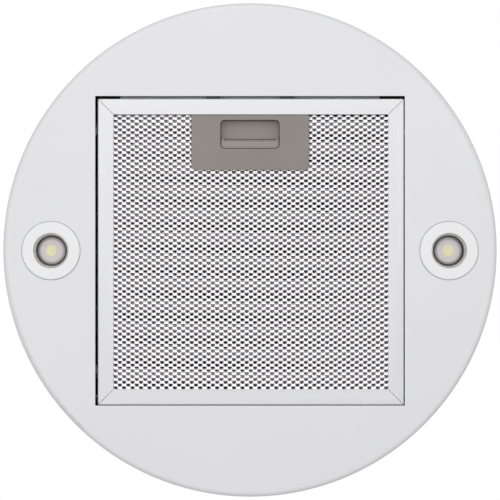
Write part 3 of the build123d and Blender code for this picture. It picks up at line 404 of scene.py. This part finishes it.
# rim of a cell, in quarters of the pitch, and rim of its heart-shaped opening, in whole pitches
CELL_RIM = [(2, 0), (1, 1), (0, 2), (-1, 1), (-2, 0), (-1, -1), (0, -2), (1, -1)]
OPENING_RIM = [(0.29, -0.19), (0.17, 0.08), (0.0, 0.29), (-0.17, 0.08),
               (-0.29, -0.19), (-0.15, -0.265), (0.0, -0.24), (0.15, -0.265)]


class Lattice:
    """Staggered rows of diamond cells, turned a little about the middle of the filter."""

    def __init__(self, pitch, turn):
        self.long_pitch, self.short_pitch = pitch
        self.cos, self.sin = math.cos(turn), math.sin(turn)
        low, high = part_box("filter_mesh_face")
        self.centre = (low + high) / 2

    def spot(self, x, y):
        """Where a point of the lattice lies, from the middle of the filter."""
        return x * self.cos - y * self.sin, x * self.sin + y * self.cos

    def cells(self, area, cut_out):
        """(column, row, x, y) of each cell inside the area and outside the cut-out."""
        columns = int(2 * area / self.long_pitch) + 3
        rows = int(2 * area / self.short_pitch) + 3
        low_x, high_x, high_y = cut_out
        for column in range(-columns, columns + 1):
            for row in range(-rows, rows + 1):
                if (column + row) % 2:
                    continue
                x, y = column * self.long_pitch / 2, row * self.short_pitch / 2
                px, py = self.spot(x, y)
                in_area = max(abs(px), abs(py)) <= area
                in_cut_out = low_x < px + self.centre.x < high_x and py + self.centre.y < high_y
                if in_area and not in_cut_out:
                    yield column, row, x, y


def expanded_sheet(name, pitch, area, cut_out, height, relief, turn=0.0):
    """Slit-and-stretched sheet: diamond cells in staggered rows, each with a heart-shaped opening.

    pitch is the cell's length and width, area the half-size of the square it fills, cut_out the
    (low x, high x, high y) corner left free for the latch, height its place along Z, relief how
    far the strands tilt, and turn an angle that sets this sheet off against the others.
    """
    lattice = Lattice(pitch, turn)
    long_pitch, short_pitch = pitch
    tip = max(v for u, v in OPENING_RIM)
    points, faces, shared = [], [], {}

    def place(x, y, rise):
        px, py = lattice.spot(x, y)
        points.append((lattice.centre.x + px, lattice.centre.y + py, height + rise))
        return len(points) - 1

    for column, row, x, y in lattice.cells(area, cut_out):
        outer, inner = [], []
        for i, j in CELL_RIM:
            key = (2 * column + i, 2 * row + j)
            if key not in shared:
                shared[key] = place(key[0] * long_pitch / 4, key[1] * short_pitch / 4, 0)
            outer.append(shared[key])
        for u, v in OPENING_RIM:
            inner.append(place(x + u * long_pitch, y + v * short_pitch, relief * v / tip))
        for k in range(8):
            after = (k + 1) % 8
            faces.append((outer[k], outer[after], inner[after], inner[k]))
    mesh = bpy.data.meshes.new(name)
    mesh.from_pydata(points, [], faces)
    mesh.polygons.foreach_set("use_smooth", np.ones(len(faces), dtype=bool))
    sheet = bpy.data.objects.new(name, mesh)
    bpy.context.scene.collection.objects.link(sheet)
    thickness = sheet.modifiers.new("thickness", "SOLIDIFY")
    thickness.thickness = SHEET_WALL
    thickness.offset = 0
    return sheet


def grease_mesh():
    """Face sheet and two sheets behind it, stood off from each other as in the real pack."""
    face_low, face_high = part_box("filter_mesh_face")
    core_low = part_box("filter_mesh_core")[0]
    plate_low, plate_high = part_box("latch_plate")
    housing_low, housing_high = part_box("latch_housing")
    half = (face_high.x - face_low.x) / 2 - RAIL_COVERS
    clear_x, clear_y = HOUSING_CLEAR
    behind_plate = (plate_low.x + PLATE_COVERS, plate_high.x - PLATE_COVERS, plate_high.y - PLATE_COVERS)
    behind_housing = (housing_low.x - clear_x, housing_high.x + clear_x, housing_high.y + clear_y)
    face = expanded_sheet("filter_face_sheet", (6.68 * MM, 4.48 * MM), half, behind_plate,
                          (face_low.z + face_high.z) / 2, 0.42 * MM)
    middle = expanded_sheet("filter_middle_sheet", (6.62 * MM, 3.60 * MM), half, behind_housing,
                            core_low.z + 1.2 * MM, -0.5 * MM, math.radians(0.3))
    back = expanded_sheet("filter_back_sheet", (6.9 * MM, 4.9 * MM), half, behind_housing,
                          core_low.z + 3.9 * MM, 0.5 * MM, math.radians(-1.2))
    face.data.materials.append(materials["mesh_aluminium"])
    # the sheets behind are the face sheet's aluminium painted darker as painted shade, the back one near
    # black
    middle.data.materials.append(bright_mesh("middle_sheet_painted_shade", 0.40))
    back.data.materials.append(bright_mesh("back_sheet_painted_shadow", 0.06))
    for sheet in (face, middle, back):
        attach(sheet, "filter")
    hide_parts("filter_mesh_face")
    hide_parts("filter_mesh_core")


grease_mesh()


def gasket(side):
    """Thin foam gasket that shows round the bezel of a spot, its near-black rubber also painting the shadow
    gap there.
    """
    low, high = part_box("led_bezel_" + side)
    middle, radius = (low + high) / 2, (high.x - low.x) / 2
    inner, outer = radius - GASKET_TUCK, radius + GASKET_SHOWS
    section = [(inner, 0), (outer, 0), (outer, GASKET_WALL), (inner, GASKET_WALL)]
    points, faces = [], []
    for i in range(GASKET_STEPS):
        turn = 2 * math.pi * i / GASKET_STEPS
        for r, drop in section:
            points.append((middle.x + r * math.cos(turn), middle.y + r * math.sin(turn), UNDERSIDE - drop))
        here, there = 4 * i, 4 * ((i + 1) % GASKET_STEPS)
        for k in range(4):
            after = (k + 1) % 4
            faces.append((here + k, there + k, there + after, here + after))
    mesh = bpy.data.meshes.new("gasket_" + side)
    mesh.from_pydata(points, [], faces)
    # near-black rubber: a guessed gasket that also stands as painted shade in the gap round the bezel
    mesh.materials.append(materials["grommet_rubber"])
    ring = bpy.data.objects.new("gasket_" + side, mesh)
    bpy.context.scene.collection.objects.link(ring)
    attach(ring, "hood_body")


gasket("left")
gasket("right")


# ---- shading of the carried-over pieces ----

for piece in nodes.values():
    piece.data.polygons.foreach_set("use_smooth", np.ones(len(piece.data.polygons), dtype=bool))
    piece.data.set_sharp_from_angle(angle=ROUND_SMOOTH)


# ---- studio ----

def floor():
    """Plain pale floor, far enough below the hood for the camera to stand under it."""
    half = 14.0
    mesh = bpy.data.meshes.new("floor")
    corners = [(-half, -half, 0), (half, -half, 0), (half, half, 0), (-half, half, 0)]
    mesh.from_pydata(corners, [], [(0, 1, 2, 3)])
    plane = bpy.data.objects.new("floor", mesh)
    plane.location.z = -4.6
    bpy.context.scene.collection.objects.link(plane)
    tree = Tree("floor")
    tree.colour(tinted(tree, (0.80, 0.80, 0.80), 0.01, 0.8))
    tree.set(Roughness=0.8)
    mesh.materials.append(tree.material)


def area_light(name, place, aim, size, power):
    """Round soft light, in metres and watts."""
    data = bpy.data.lights.new(name, "AREA")
    data.shape = "DISK"
    data.size = size
    data.energy = power
    lamp = bpy.data.objects.new(name, data)
    lamp.location = place
    lamp.rotation_mode = "QUATERNION"
    lamp.rotation_quaternion = (Vector(aim) - Vector(place)).to_track_quat("-Z", "Y")
    bpy.context.scene.collection.objects.link(lamp)


def world():
    """Grey all round, with a white patch straight overhead."""
    made = bpy.data.worlds.new("studio")
    bpy.context.scene.world = made
    made.use_nodes = True
    tree = made.node_tree
    place = tree.nodes.new("ShaderNodeTexCoord")
    split = tree.nodes.new("ShaderNodeSeparateXYZ")
    ramp = tree.nodes.new("ShaderNodeValToRGB")
    ramp.color_ramp.elements.new(0.5)
    stops = [(0.0, (0.45, 0.45, 0.46, 1)), (0.8, (0.52, 0.52, 0.53, 1)), (0.97, (1, 1, 1, 1))]
    for element, (position, colour) in zip(ramp.color_ramp.elements, stops):
        element.position = position
        element.color = colour
    tree.links.new(place.outputs["Generated"], split.inputs["Vector"])
    tree.links.new(split.outputs["Z"], ramp.inputs["Fac"])
    tree.links.new(ramp.outputs["Color"], tree.nodes["Background"].inputs["Color"])


def camera():
    """Straight up from below, with the latch side at the top of the picture."""
    distance = 1.5
    seen = 0.3943               # width of the picture at the underside
    data = bpy.data.cameras.new("camera")
    data.sensor_width = 36
    data.lens = data.sensor_width * distance / seen
    made = bpy.data.objects.new("camera", data)
    made.location = (0, 0, UNDERSIDE - distance)
    made.rotation_euler = (math.pi, 0, 0)
    bpy.context.scene.collection.objects.link(made)
    bpy.context.scene.camera = made


floor()
world()
camera()
target = (0, 0, UNDERSIDE)
area_light("front", (-0.15, -0.7, UNDERSIDE - 2.2), target, 2.4, 19.5)
aside, below = 1.9, 1.6
for name, x, y, power in (("left", -1, 0, 4), ("right", 1, 0, 3), ("top", 0, -1, 6), ("bottom", 0, 1, 1)):
    area_light(name, (aside * x, aside * y, UNDERSIDE - below), target, 0.9, power)
bpy.context.scene.view_settings.view_transform = "Standard"
